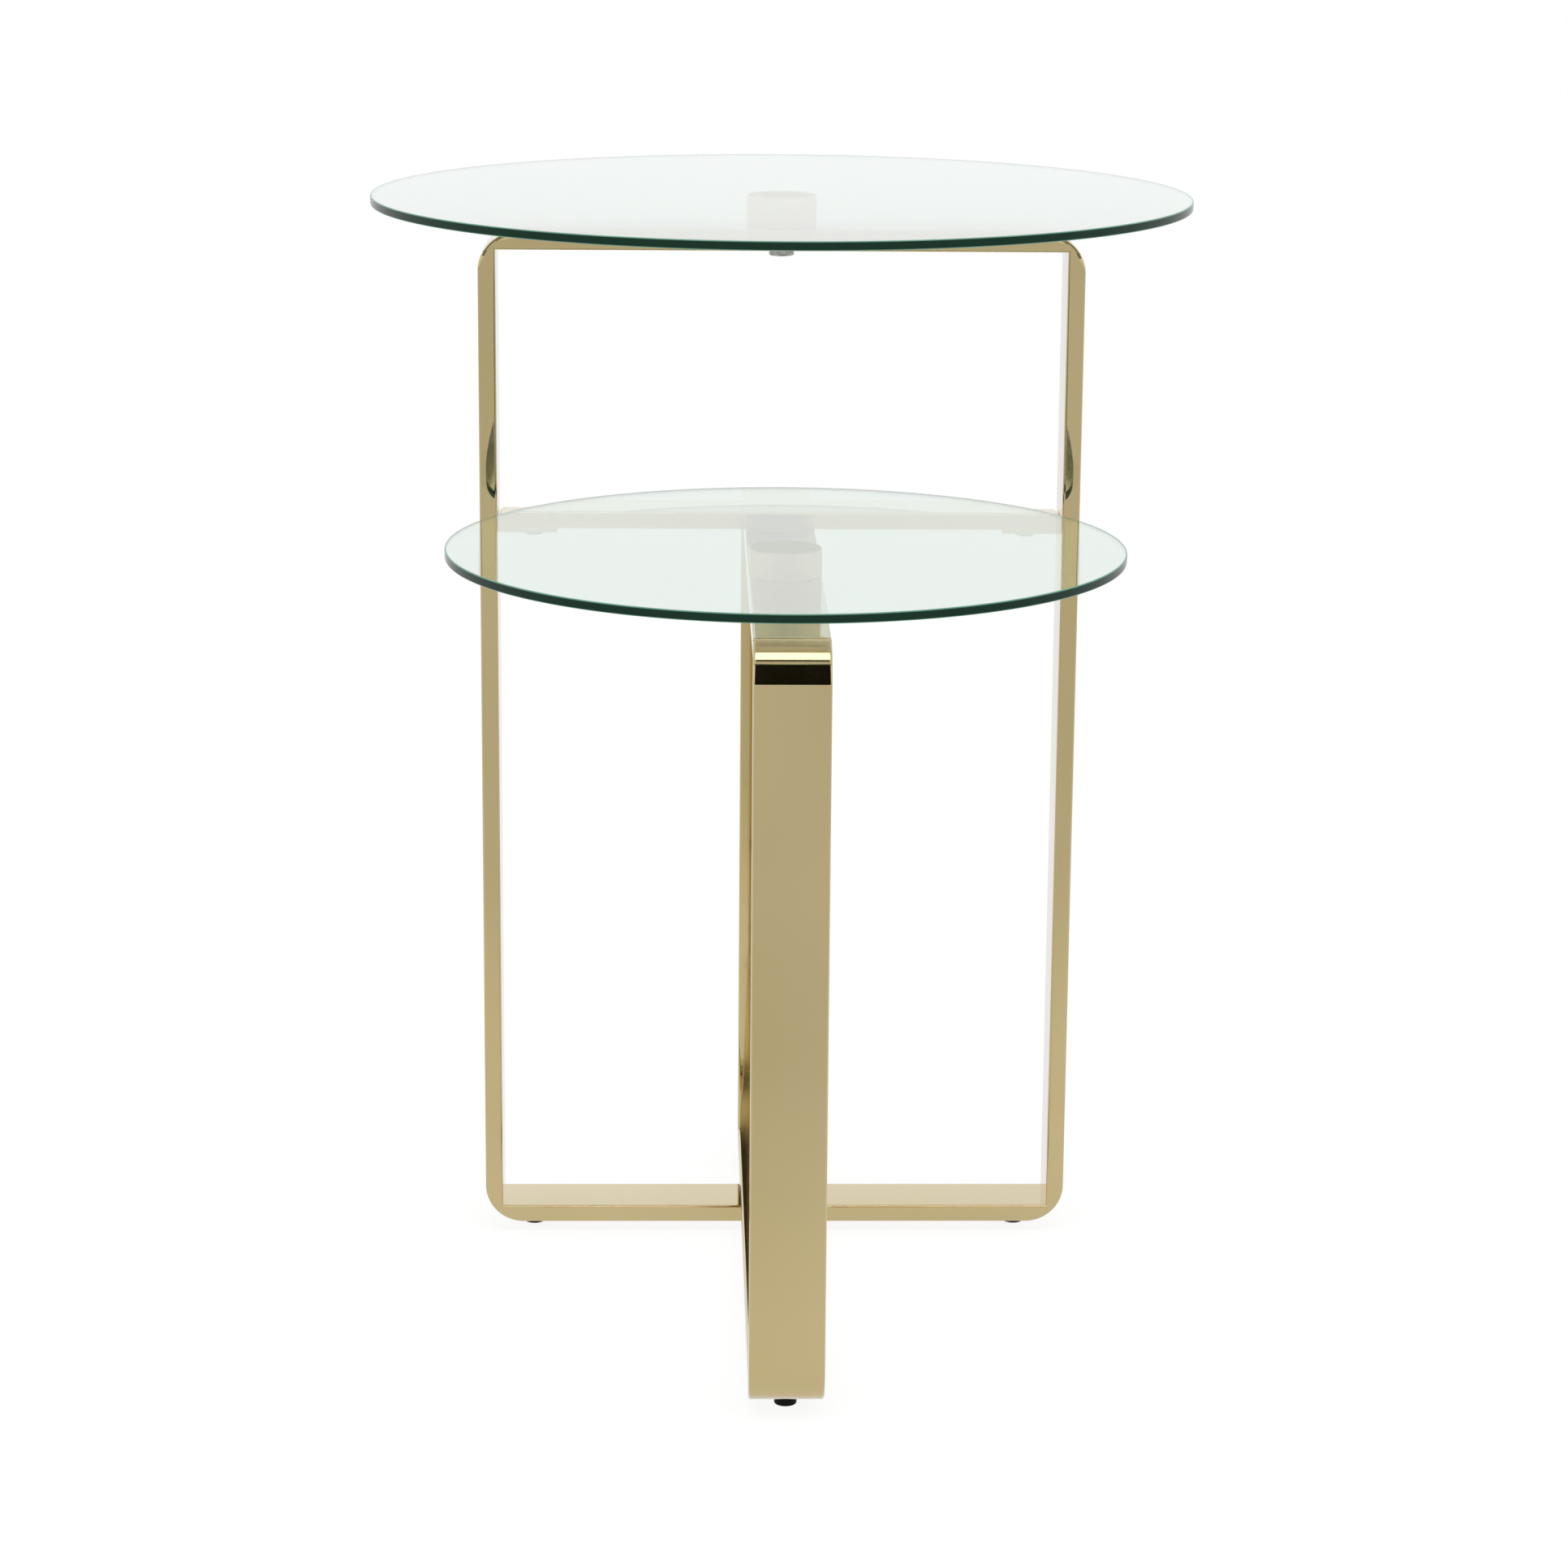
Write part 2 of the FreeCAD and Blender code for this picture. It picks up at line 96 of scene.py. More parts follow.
class TableSizes(bpy.types.PropertyGroup):
    """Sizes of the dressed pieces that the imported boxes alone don't give."""

    bar_thickness: FloatProperty(
        name="Bar thickness", description="Thickness of the flat bar of both loops",
        default=node_size("cross_rail").z, unit="LENGTH", precision=4)
    fold_web: FloatProperty(
        name="Fold web", description="Metal left between a fold's inner crease and its round outside",
        default=0.005, unit="LENGTH", precision=4)
    bar_edge: FloatProperty(
        name="Bar edge radius", description="Rounding along the edges of the flat bar",
        default=0.0015, unit="LENGTH", precision=4)
    lap_clearance: FloatProperty(
        name="Lap clearance", description="Room on each side of the half-lap where the loops cross",
        default=0.0002, unit="LENGTH", precision=4)
    fold_steps: IntProperty(
        name="Fold steps", description="Facets round each fold of the loops", default=40, min=8)
    edge_steps: IntProperty(
        name="Edge steps", description="Facets round each rounded edge", default=6, min=2)
    glass_arris: FloatProperty(
        name="Glass arris", description="Ground corner along the rims of the glass tops",
        default=0.0008, unit="LENGTH", precision=4)
    eased_edge: FloatProperty(
        name="Eased edge", description="Rounding along the edges of the lugs and bosses",
        default=0.0006, unit="LENGTH", precision=4)
    pad_edge: FloatProperty(
        name="Pad edge", description="Rounding along the rims of the pads",
        default=0.0008, unit="LENGTH", precision=4)
    film_edge: FloatProperty(
        name="Film edge", description="Rounding along the rims of the bonding film",
        default=0.0001, unit="LENGTH", precision=4)
    film_bite: FloatProperty(
        name="Film bite", description="How far the film is drawn into the glass, so that no air shows",
        default=0.00005, unit="LENGTH", precision=5)
    eased_steps: IntProperty(
        name="Eased steps", description="Facets round each eased edge or rim", default=3, min=1)
    film_steps: IntProperty(
        name="Film steps", description="Facets round the film's rims", default=2, min=1)
    glass_steps: IntProperty(
        name="Glass steps", description="Facets round each glass top", default=288, min=48)
    turned_steps: IntProperty(
        name="Turned steps", description="Facets round bosses, bolts and pads", default=72, min=24)


class TableColours(bpy.types.PropertyGroup):
    """Colours of the table's finishes."""

    gold: FloatVectorProperty(
        name="Gold", description="Main colour of the polished plating",
        default=(0.565, 0.45, 0.21), subtype="COLOR")
    pale_gold: FloatVectorProperty(
        name="Pale gold", description="Colour of the plating where it is thinnest",
        default=(0.61, 0.495, 0.25), subtype="COLOR")
    steel: FloatVectorProperty(
        name="Zinc steel", description="Main colour of the screws and nuts",
        default=(0.62, 0.62, 0.60), subtype="COLOR")
    dull_steel: FloatVectorProperty(
        name="Dull zinc", description="Colour of the screws where the zinc has dulled",
        default=(0.46, 0.46, 0.45), subtype="COLOR")
    glass_clear: FloatVectorProperty(
        name="Clear glass", description="Colour that light takes on straight through the glass",
        default=(0.94, 0.975, 0.955), subtype="COLOR")
    glass_slant: FloatVectorProperty(
        name="Slanting glass", description="Colour that light takes on along a slanting way in",
        default=(0.55, 0.76, 0.63), subtype="COLOR")
    rim_green: FloatVectorProperty(
        name="Rim green", description="Colour deep in the polished rims of the glass",
        default=(0.006, 0.032, 0.018), subtype="COLOR")
    # Also the painted light on the rims: the paler green they take wherever they are seen from inside the
    # glass.
    arris_and_painted_light_green: FloatVectorProperty(
        name="Arris green", description="Colour along the ground corners of the glass",
        default=(0.15, 0.35, 0.25), subtype="COLOR")
    film_pale: FloatVectorProperty(
        name="Film", description="Colour of the cured bonding film on the bosses",
        default=(0.41, 0.40, 0.24), subtype="COLOR")
    film_cloud: FloatVectorProperty(
        name="Film cloud", description="Colour of the film where it is cloudy",
        default=(0.3772, 0.368, 0.2208), subtype="COLOR")
    pad_black: FloatVectorProperty(
        name="Pad black", description="Colour of the moulded pads",
        default=(0.004, 0.004, 0.004), subtype="COLOR")
    pad_scuff: FloatVectorProperty(
        name="Pad scuffs", description="Colour of the pads where they are scuffed",
        default=(0.012, 0.011, 0.010), subtype="COLOR")


class StudioSettings(bpy.types.PropertyGroup):
    """The plain studio and the camera at the photograph's viewing angle."""

    floor_size: FloatProperty(
        name="Floor size", description="Side of the pale floor", default=120.0, unit="LENGTH")
    ambient: FloatProperty(
        name="Ambient", description="Strength of the even light from all round", default=0.8)
    softbox_power: FloatProperty(
        name="Softbox power", description="Power of the soft lamp overhead", default=19.0)
    softbox_size: FloatVectorProperty(
        name="Softbox size", description="Width and depth of the soft lamp",
        default=(2.4, 1.0), size=2, unit="LENGTH")
    softbox_place: FloatVectorProperty(
        name="Softbox place", description="Where the soft lamp hangs",
        default=(0.0, -0.95, 3.02), subtype="TRANSLATION", unit="LENGTH")
    softbox_tilt: FloatProperty(
        name="Softbox tilt", description="How far the soft lamp leans towards the table",
        default=math.radians(15), subtype="ANGLE")
    sensor: FloatProperty(
        name="Sensor", description="Width of the camera's sensor in millimetres", default=36.0)
    lens: FloatProperty(
        name="Lens", description="Focal length in millimetres", default=97.63)
    camera_place: FloatVectorProperty(
        name="Camera place", description="Where the camera stands",
        default=(-0.0567, -2.3410, 0.8594), subtype="TRANSLATION", unit="LENGTH")
    pitch: FloatProperty(
        name="Pitch", description="How far the camera looks down",
        default=math.radians(13.9), subtype="ANGLE")
    yaw: FloatProperty(
        name="Yaw", description="How far the camera looks to the right of straight back",
        default=math.radians(1.45), subtype="ANGLE")
    roll: FloatProperty(
        name="Roll", description="How far the camera leans", default=math.radians(0.47), subtype="ANGLE")


class Value:
    """A number in a node tree. Arithmetic on it adds Math nodes to that tree."""

    def __init__(self, finish, socket):
        self.finish = finish
        self.socket = socket

    def _math(self, operation, *operands):
        return self.finish.node("ShaderNodeMath", {"operation": operation}, dict(enumerate(operands)))

    def __add__(self, other):
        return self._math("ADD", self, other)

    __radd__ = __add__

    def __sub__(self, other):
        return self._math("SUBTRACT", self, other)

    def __rsub__(self, other):
        return self._math("SUBTRACT", other, self)

    def __mul__(self, other):
        return self._math("MULTIPLY", self, other)

    __rmul__ = __mul__

    def highest(self, other):
        return self._math("MAXIMUM", self, other)

    def equals(self, number):
        """Is 1 at one whole number and 0 at the others."""
        return self._math("COMPARE", self, float(number), 0.5)

    def size(self):
        return self._math("ABSOLUTE", self)

    def part(self, axis):
        """The X, Y or Z part of a place, a direction or a map."""
        return self.finish.node("ShaderNodeSeparateXYZ", inputs={0: self}, output=axis)


class Finish:
    """A material or world whose nodes are added one call at a time."""

    def __init__(self, owner):
        owner.use_nodes = True
        self.owner = owner
        self.tree = owner.node_tree
        self.tree.nodes.clear()

    def node(self, kind, settings=None, inputs=None, output=0):
        """Adds a node, sets it up, feeds its sockets and gives one of its outputs."""
        made = self.tree.nodes.new(kind)
        for name, setting in (settings or {}).items():
            setattr(made, name, setting)
        for key, fed in (inputs or {}).items():
            if isinstance(fed, Value):
                self.tree.links.new(fed.socket, made.inputs[key])
            else:
                made.inputs[key].default_value = fed
        return Value(self, made.outputs[output]) if len(made.outputs) else None

    def place(self):
        return self.node("ShaderNodeTexCoord", output="Object")

    def stretched(self, place, scale):
        return self.node("ShaderNodeMapping", inputs={"Vector": place, "Scale": scale})

    def noise(self, place, scale, detail=2.0, roughness=0.5):
        fed = {"Vector": place, "Scale": scale, "Detail": detail, "Roughness": roughness}
        return self.node("ShaderNodeTexNoise", inputs=fed)

    def band(self, value, low, high):
        """Runs smoothly from 0 to 1 as a value passes from low to high."""
        fed = {"Value": value, "From Min": low, "From Max": high}
        return self.node("ShaderNodeMapRange", {"interpolation_type": "SMOOTHSTEP"}, fed)

    def blend(self, share, first, second):
        """Goes from the first colour to the second. Mix has sockets of one name, so they go by number."""
        fed = {0: share, 6: (*first, 1.0), 7: (*second, 1.0)}
        return self.node("ShaderNodeMix", {"data_type": "RGBA"}, fed, output=2)

    def bump(self, height, strength, distance):
        fed = {"Strength": strength, "Distance": distance, "Height": height}
        return self.node("ShaderNodeBump", inputs=fed)

    def surface(self, **sockets):
        """Ends a material in one Principled shader; names use _ for spaces."""
        fed = {name.replace("_", " "): value for name, value in sockets.items()}
        shader = self.node("ShaderNodeBsdfPrincipled", inputs=fed)
        self.node("ShaderNodeOutputMaterial", inputs={"Surface": shader})
        return self.owner


def new_finish(name):
    return Finish(bpy.data.materials.new(name))


def gold_plate(colours):
    """Mirror-polished plating: drifting tint, faint haze, buffing lines along the bar and crowned faces."""
    finish = new_finish("gold_plate")
    place = finish.place()
    bar = finish.node("ShaderNodeUVMap", {"uv_map": BAR_MAP})
    off_middle = bar.part("X") - 0.5
    drift = finish.noise(place, scale=5.0, detail=2.0)
    haze = finish.noise(place, scale=38.0, detail=5.0, roughness=0.62)
    buffing = finish.noise(finish.stretched(bar, (36.0, 14.0, 1.0)), scale=1.0, detail=2.0)
    sag = finish.noise(place, scale=9.0, detail=0.0)
    return finish.surface(
        Base_Color=finish.blend(finish.band(drift, 0.35, 0.7), colours.gold, colours.pale_gold),
        Metallic=1.0,
        Roughness=0.025 + 0.05 * finish.band(haze, 0.5, 0.8) + 0.02 * buffing,
        Coat_Weight=1.0,
        Normal=finish.bump(0.3 * sag - 4.0 * off_middle * off_middle, strength=1.0, distance=0.0002),
    )


def turned_gold(colours):
    """Satin plating on turned bosses, with fine rings left by the tool."""
    finish = new_finish("turned_gold")
    place = finish.place()
    haze = finish.noise(place, scale=60.0, detail=4.0)
    rings = finish.noise(finish.stretched(place, (20.0, 20.0, 3000.0)), scale=1.0, detail=2.0)
    return finish.surface(
        Base_Color=finish.blend(finish.band(haze, 0.35, 0.7), colours.gold, colours.pale_gold),
        Metallic=1.0,
        Roughness=0.42 + 0.12 * haze,
        Normal=finish.bump(rings, strength=0.1, distance=0.0002),
    )


def zinc_steel(colours):
    """Zinc-plated screws: mottled bright and dull patches with a fine satin grain."""
    finish = new_finish("fastener_steel")
    place = finish.place()
    mottle = finish.noise(place, scale=420.0, detail=4.0, roughness=0.6)
    grain = finish.noise(place, scale=2600.0, detail=2.0)
    return finish.surface(
        Base_Color=finish.blend(finish.band(mottle, 0.4, 0.65), colours.steel, colours.dull_steel),
        Metallic=1.0,
        Roughness=0.42 + 0.2 * finish.band(mottle, 0.35, 0.7),
        Normal=finish.bump(grain, strength=0.08, distance=0.0002),
    )


def clear_glass(colours):
    """Float glass: clear straight through, faintly green at a slant, with wiping marks on its faces."""
    finish = new_finish("clear_glass")
    wiping = finish.noise(finish.stretched(finish.place(), (6.0, 22.0, 6.0)), scale=1.0, detail=4.0)
    slant = finish.node("ShaderNodeLayerWeight", inputs={"Blend": 0.5}, output="Facing")
    return finish.surface(
        Base_Color=finish.blend(finish.band(slant, 0.4, 0.8), colours.glass_clear, colours.glass_slant),
        Roughness=0.012 * finish.band(wiping, 0.5, 0.8),
        IOR=1.52,
        Transmission_Weight=1.0,
        Coat_Weight=0.7,
    )


def glass_rim(colours):
    """Polished rim of float glass: deep green, paler along its ground corners, with painted light that
    makes it paler wherever it is seen from inside the glass.
    """
    finish = new_finish("glass_rim")
    place = finish.place()
    lean = finish.node("ShaderNodeTexCoord", output="Normal").part("Z").size()
    depth = finish.noise(finish.stretched(place, (9.0, 9.0, 700.0)), scale=1.0, detail=3.0)
    # Painted light: the rim takes the paler green wherever it is seen from inside the glass, as if light
    # came through it.
    from_inside = finish.node("ShaderNodeNewGeometry", output="Backfacing")
    pale = finish.band(lean, 0.15, 0.6).highest(from_inside)
    return finish.surface(
        Base_Color=finish.blend(pale, colours.rim_green, colours.arris_and_painted_light_green),
        Roughness=0.05 + 0.08 * depth,
        Specular_IOR_Level=0.15,
        Normal=finish.bump(depth, strength=0.05, distance=0.0005),
    )


def bond_film(colours):
    """Cured adhesive: pale and slightly cloudy, with small bubbles caught in it."""
    finish = new_finish("bond_film")
    place = finish.place()
    cloud = finish.noise(place, scale=160.0, detail=4.0)
    bubbles = finish.node("ShaderNodeTexVoronoi", inputs={"Vector": place, "Scale": 700.0})
    return finish.surface(
        Base_Color=finish.blend(cloud, colours.film_cloud, colours.film_pale),
        Roughness=0.3 + 0.2 * cloud,
        IOR=1.47,
        Normal=finish.bump(finish.band(bubbles, 0.05, 0.2), strength=0.15, distance=0.0001),
    )


def pad_black(colours):
    """Moulded black plastic with a fine spark grain and scuffed lighter patches."""
    finish = new_finish("black_plastic")
    place = finish.place()
    grain = finish.noise(place, scale=2400.0, detail=3.0)
    scuff = finish.noise(place, scale=260.0, detail=5.0, roughness=0.65)
    return finish.surface(
        Base_Color=finish.blend(finish.band(scuff, 0.55, 0.8), colours.pad_black, colours.pad_scuff),
        Roughness=0.38 + 0.25 * scuff,
        Specular_IOR_Level=0.1,
        Normal=finish.bump(grain, strength=0.25, distance=0.0002),
    )


FINISHES = {
    "gold_plate": gold_plate,
    "turned_gold": turned_gold,
    "fastener_steel": zinc_steel,
    "clear_glass": clear_glass,
    "glass_rim": glass_rim,
    "bond_film": bond_film,
    "black_plastic": pad_black,
}


def finish_named(slot, scene):
    """The material of a slot or a part of one, made when it is first asked for."""
    name = slot + "_finish"
    if name not in bpy.data.materials:
        FINISHES[slot](scene.side_table_colours).name = name
    return bpy.data.materials[name]


def slot_of(node):
    rows = frame["record"]["subparts"]
    return next(row["material_slot"] for row in rows if row["node"] == node)


def dress_node(node, scene):
    """Gives a CAD node that shows as it is the material of its slot."""
    mesh = frame["nodes"][node].data
    mesh.materials.clear()
    mesh.materials.append(finish_named(slot_of(node), scene))


def hand_over(bm, name, node, scene, finishes=()):
    """Makes a mesh a piece of the table that stands for a CAD node, in its slot's finish or others."""
    for face in bm.faces:
        face.smooth = True
    for edge in bm.edges:
        edge.smooth = edge.is_manifold and edge.calc_face_angle() < CRISP_ANGLE
    mesh = bpy.data.meshes.new(name)
    bm.to_mesh(mesh)
    bm.free()
    for finish in finishes or (slot_of(node),):
        mesh.materials.append(finish_named(finish, scene))
    piece = bpy.data.objects.new(name, mesh)
    scene.collection.objects.link(piece)
    shading = piece.modifiers.new("flat_faces_lead", "WEIGHTED_NORMAL")
    shading.keep_sharp = True
    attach(piece, "root")
    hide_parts(node)
    return piece


def round_edges(bm, edges, radius, steps):
    bmesh.ops.bevel(
        bm, geom=edges, offset=radius, offset_type="OFFSET", segments=steps,
        profile=0.5, affect="EDGES", material=-1)


def only_verts(parts):
    return [part for part in parts if isinstance(part, bmesh.types.BMVert)]


def faces_along(face, axis):
    return abs(face.normal[axis]) > FLAT_SHARE


def fold_radius(sizes):
    """Outer radius of a fold that leaves the web between its crease and its outside."""
    diagonal = math.sqrt(2) * sizes.bar_thickness
    return (diagonal - sizes.fold_web) / (math.sqrt(2) - 1)


def fold_loop(width, height, depth, sizes):
    """Makes a closed loop of flat bar, round outside and creased inside, upright about the origin."""
    radius = fold_radius(sizes)
    bm = bmesh.new()
    bmesh.ops.create_grid(bm, x_segments=1, y_segments=1, size=0.5)
    bmesh.ops.scale(bm, vec=(width, height, 1.0), verts=bm.verts)
    bmesh.ops.bevel(
        bm, geom=bm.verts[:], offset=radius, offset_type="OFFSET", segments=sizes.fold_steps,
        profile=0.5, affect="VERTICES", material=-1)
    bm.faces.ensure_lookup_table()
    opening = bm.faces[0]
    bmesh.ops.inset_region(
        bm, faces=[opening], thickness=sizes.bar_thickness, use_even_offset=True, use_boundary=True)
    inner = opening.verts[:]
    bmesh.ops.delete(bm, geom=[opening], context="FACES_ONLY")
    crease_fold(bm, inner, width / 2, height / 2, radius, sizes.bar_thickness)
    stretched = bmesh.ops.extrude_face_region(bm, geom=bm.faces[:], use_keep_orig=True)["geom"]
    bmesh.ops.translate(bm, vec=(0.0, 0.0, depth), verts=only_verts(stretched))
    bmesh.ops.translate(bm, vec=(0.0, 0.0, -depth / 2), verts=bm.verts)
    bmesh.ops.rotate(bm, matrix=Matrix.Rotation(math.pi / 2, 3, "X"), verts=bm.verts)
    bmesh.ops.recalc_face_normals(bm, faces=bm.faces)
    rims = [edge for edge in bm.edges
            if faces_along(edge.link_faces[0], 1) != faces_along(edge.link_faces[1], 1)]
    round_edges(bm, rims, sizes.bar_edge, sizes.edge_steps)
    many_sided = [face for face in bm.faces if len(face.verts) > 4]
    bmesh.ops.triangulate(bm, faces=many_sided, ngon_method="BEAUTY")
    map_bar(bm, (width - sizes.bar_thickness) / 2, (height - sizes.bar_thickness) / 2, depth)
    return bm


def map_bar(bm, middle_x, middle_z, depth):
    """Lays a map on a loop's faces: 0 to 1 across the bar, and metres along it."""
    layer = bm.loops.layers.uv.new(BAR_MAP)
    for face in bm.faces:
        for corner in face.loops:
            x, y, z = corner.vert.co
            if faces_along(face, 1):
                across = float(abs(x) < middle_x and abs(z) < middle_z)
            else:
                across = 0.5 + y / depth
            corner[layer].uv = (across, x + z)


def crease_fold(bm, inner, half_width, half_height, radius, thickness):
    """Draws each inner bend of a flat loop together into one sharp crease."""
    for side_x in (-1, 1):
        for side_y in (-1, 1):
            bend = [vert for vert in inner if vert.is_valid
                    and side_x * vert.co.x > half_width - radius - thickness / 2
                    and side_y * vert.co.y > half_height - radius - thickness / 2]
            crease = Vector((side_x * (half_width - thickness), side_y * (half_height - thickness), 0.0))
            bmesh.ops.pointmerge(bm, verts=bend, merge_co=crease)
            fan = [face for face in bm.faces if len(face.verts) == 3
                   and any((vert.co - crease).length < MERGE_DISTANCE for vert in face.verts)]
            bmesh.ops.dissolve_faces(bm, faces=fan)


def lap_level(size, sizes):
    """Height of the middle of a loop's bottom bar, measured from the loop's own middle."""
    return (sizes.bar_thickness - size.z) / 2


def cut_half_lap(bm, middle, half_width, level, keep_lower):
    """Takes half of a loop's bottom bar away where the other loop crosses it."""
    ends = (middle - half_width, middle + half_width)

    def parts(low, high):
        bar = [face for face in bm.faces if face.calc_center_bounds().z < level + half_width
               and all(low - MERGE_DISTANCE <= vert.co.x <= high + MERGE_DISTANCE for vert in face.verts)]
        return list(dict.fromkeys(part for face in bar for part in (*face.verts, *face.edges, face)))

    reach = max(vert.co.x for vert in bm.verts)
    for end in ends:
        bmesh.ops.bisect_plane(
            bm, geom=parts(-reach, reach), dist=MERGE_DISTANCE,
            plane_co=(end, 0.0, 0.0), plane_no=(1.0, 0.0, 0.0))
    bmesh.ops.bisect_plane(
        bm, geom=parts(*ends), dist=MERGE_DISTANCE, plane_co=(0.0, 0.0, level), plane_no=UP)
    waste = [part for part in parts(*ends) if isinstance(part, bmesh.types.BMFace)
             and (part.calc_center_bounds().z > level) == keep_lower]
    bmesh.ops.delete(bm, geom=waste, context="FACES")
    rim = [edge for edge in bm.edges if edge.is_boundary]
    corners = [vert for vert in dict.fromkeys(vert for edge in rim for vert in edge.verts)
               if abs(vert.co.z - level) < MERGE_DISTANCE]
    across = []
    for end in ends:
        pair = [vert for vert in corners if abs(vert.co.x - end) < MERGE_DISTANCE]
        across.append(bm.edges.new(pair))
        wall = [edge for edge in rim if all(abs(vert.co.x - end) < MERGE_DISTANCE for vert in edge.verts)]
        bmesh.ops.contextual_create(bm, geom=[across[-1], *wall])
    sides = [edge for edge in rim if all(vert in corners for vert in edge.verts)]
    bmesh.ops.contextual_create(bm, geom=[*across, *sides])
    bmesh.ops.recalc_face_normals(bm, faces=bm.faces)


def turn_outline(outline, centre, steps):
    """Turns an outline of (radius, height) points right round the upright axis through a place."""
    bm = bmesh.new()
    points = [bm.verts.new((radius, 0.0, height)) for radius, height in outline]
    lines = [bm.edges.new(pair) for pair in zip(points, points[1:])]
    bmesh.ops.spin(
        bm, geom=points + lines, cent=(0.0, 0.0, 0.0), axis=UP, angle=2 * math.pi,
        steps=steps, use_merge=True)
    bmesh.ops.remove_doubles(bm, verts=bm.verts, dist=MERGE_DISTANCE)
    bmesh.ops.recalc_face_normals(bm, faces=bm.faces)
    bmesh.ops.translate(bm, vec=centre, verts=bm.verts)
    return bm


def sharp_edges(bm):
    return [edge for edge in bm.edges if edge.calc_face_angle() > SHARP_ANGLE]


def block(node, edge_radius, edge_steps):
    """Makes a flat bar or plate that fills a CAD node's box, with all its edges eased."""
    bm = bmesh.new()
    bmesh.ops.create_cube(bm, size=1.0)
    bmesh.ops.scale(bm, vec=node_size(node), verts=bm.verts)
    round_edges(bm, bm.edges[:], edge_radius, edge_steps)
    bmesh.ops.translate(bm, vec=node_middle(node), verts=bm.verts)
    return bm


def disc(node, edge_radius, edge_steps, steps):
    """Makes a round plate that fills a CAD node's box, with eased rims."""
    size = node_size(node)
    radius, half = size.x / 2, size.z / 2
    outline = [(0.0, -half), (radius, -half), (radius, half), (0.0, half)]
    bm = turn_outline(outline, node_middle(node), steps)
    round_edges(bm, sharp_edges(bm), edge_radius, edge_steps)
    return bm


def socket_screw(node, head, shank, pitch, key, key_depth, steps):
    """Makes a low-head socket screw, head down, with thread rings along its shank."""
    low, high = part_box(node)
    head_radius = node_size(node).x / 2
    length = high.z - low.z
    root = shank - THREAD_SHARE * pitch
    outline = [(0.0, 0.0), (head_radius, 0.0), (head_radius, head), (shank, head)]
    plain = PLAIN_PITCHES * pitch
    height = head + plain
    while height < length - plain:
        outline += [(shank, height), (root, height + pitch / 2)]
        height += pitch
    outline += [(shank, height), (root, length), (0.0, length)]
    place = Vector((node_middle(node).x, node_middle(node).y, low.z))
    bm = turn_outline(outline, place, steps)
    rim = [edge for edge in sharp_edges(bm)
           if all((vert.co - place).xy.length > head_radius - MERGE_DISTANCE for vert in edge.verts)]
    round_edges(bm, rim, HEAD_EASE_SHARE * head_radius, HEAD_EASE_STEPS)
    pole = min(bm.verts, key=lambda vert: (vert.co - place).length)
    bmesh.ops.dissolve_verts(bm, verts=[pole])
    face = min(bm.faces, key=lambda one: one.calc_center_median().z)
    bmesh.ops.inset_region(
        bm, faces=[face], thickness=SOCKET_RING_SHARE * head_radius, use_even_offset=True)
    for vert in face.verts:
        arm = vert.co - place
        turn = math.atan2(arm.y, arm.x) % KEY_TURN - KEY_TURN / 2
        reach = key / 2 / math.cos(turn)
        vert.co = place + Vector((arm.x, arm.y, 0.0)).normalized() * reach
    sunk = bmesh.ops.extrude_face_region(bm, geom=[face])["geom"]
    bmesh.ops.translate(bm, vec=UP * key_depth, verts=only_verts(sunk))
    bmesh.ops.delete(bm, geom=[face], context="FACES_ONLY")
    bmesh.ops.recalc_face_normals(bm, faces=bm.faces)
    return bm


class FoldLoops(bpy.types.Operator):
    """Fold the tall loop and the low loop and let them into each other"""

    bl_idname = "side_table.fold_loops"
    bl_label = "Fold Loops"

    def execute(self, context):
        scene = context.scene
        sizes = scene.side_table_sizes
        tall, low = node_size("tall_frame"), node_size("low_frame")
        apart = node_middle("low_frame") - node_middle("tall_frame")
        tall_loop = fold_loop(tall.x, tall.z, tall.y, sizes)
        cut_half_lap(
            tall_loop, apart.x, low.x / 2 + sizes.lap_clearance, lap_level(tall, sizes), keep_lower=True)
        bmesh.ops.translate(tall_loop, vec=node_middle("tall_frame"), verts=tall_loop.verts)
        hand_over(tall_loop, "tall_loop", "tall_frame", scene)
        low_loop = fold_loop(low.y, low.z, low.x, sizes)
        cut_half_lap(
            low_loop, -apart.y, tall.y / 2 + sizes.lap_clearance, lap_level(low, sizes), keep_lower=False)
        bmesh.ops.rotate(low_loop, matrix=Matrix.Rotation(math.pi / 2, 3, "Z"), verts=low_loop.verts)
        bmesh.ops.translate(low_loop, vec=node_middle("low_frame"), verts=low_loop.verts)
        hand_over(low_loop, "low_loop", "low_frame", scene)
        return {"FINISHED"}


class FitRail(bpy.types.Operator):
    """Lay the rail on its lugs and screw it down"""

    bl_idname = "side_table.fit_rail"
    bl_label = "Fit Rail"

    def execute(self, context):
        scene = context.scene
        sizes = scene.side_table_sizes
        hand_over(block("cross_rail", sizes.bar_edge, sizes.edge_steps), "rail", "cross_rail", scene)
        for side in ("left", "right"):
            lug = block(f"{side}_rail_lug", sizes.eased_edge, sizes.eased_steps)
            hand_over(lug, f"{side}_lug", f"{side}_rail_lug", scene)
            screw = socket_screw(f"{side}_rail_screw", steps=sizes.turned_steps, **RAIL_SCREW)
            hand_over(screw, f"{side}_screw", f"{side}_rail_screw", scene)
            dress_node(f"{side}_rail_nut", scene)
        return {"FINISHED"}


